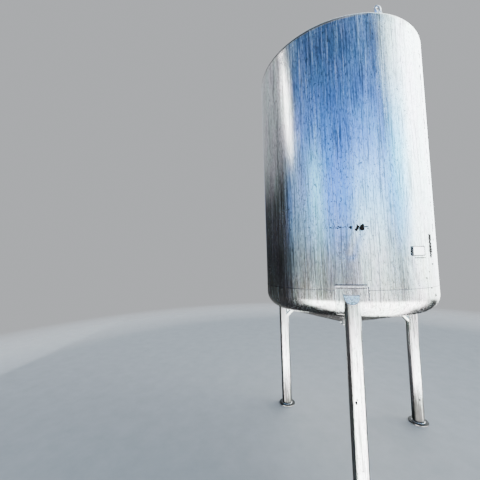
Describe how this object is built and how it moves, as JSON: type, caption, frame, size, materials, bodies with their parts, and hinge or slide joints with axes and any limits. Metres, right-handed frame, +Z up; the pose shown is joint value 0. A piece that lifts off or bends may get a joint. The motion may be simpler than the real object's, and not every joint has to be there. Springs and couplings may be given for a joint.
{
  "type": "vertical stainless storage tank on three legs",
  "caption": "Closed upright cylindrical tank with a conical bottom outlet, a top manway and mitred tubular legs.",
  "frame": {"origin": "middle of the ground plan's bounding box, on the ground; the tank's own axis stands 53.4 mm behind it (+Y)", "axes": "+Z up along the tank's axis, -Y towards the front leg, +X to the right of someone facing the front leg"},
  "size_m": [1.5946, 1.7012, 4.0416],
  "materials": {
    "sheet": "vertical brushed stainless sheet, streaked",
    "head": "pickled and dulled stainless",
    "tube": "satin stainless tube",
    "foot": "dirty stainless plate",
    "pad": "satin stainless doubler",
    "fitting": "machined stainless fitting",
    "plate": "bare polished plate, blank"
  },
  "bodies": {
    "root": {"bottom_head": "head", "brace_pad_front": "pad", "brace_pad_left": "pad", "brace_pad_right": "pad", "foot_plate_front": "foot", "foot_plate_left": "foot", "foot_plate_right": "foot", "leg_brace_front": "tube", "leg_brace_left": "tube", "leg_brace_right": "tube", "leg_cap_front": "tube", "leg_cap_left": "tube", "leg_cap_right": "tube", "leg_pad_front": "pad", "leg_pad_left": "pad", "leg_pad_right": "pad", "leg_tube_front": "tube", "leg_tube_left": "tube", "leg_tube_right": "tube", "lifting_lug_1": "fitting", "lifting_lug_2": "fitting", "manway_hinge": "fitting", "manway_knob": "fitting", "manway_latch": "fitting", "manway_lid": "fitting", "manway_neck": "fitting", "manway_rim_ring": "fitting", "name_plate": "plate", "name_plate_bracket": "fitting", "outlet_ferrule": "fitting", "outlet_neck": "fitting", "shell_sheet_1": "sheet", "shell_sheet_2": "sheet", "shell_sheet_3": "sheet", "shell_sheet_4": "sheet", "top_head": "head", "vent_cap": "fitting", "vent_pipe": "fitting"}
  },
  "joints": []
}
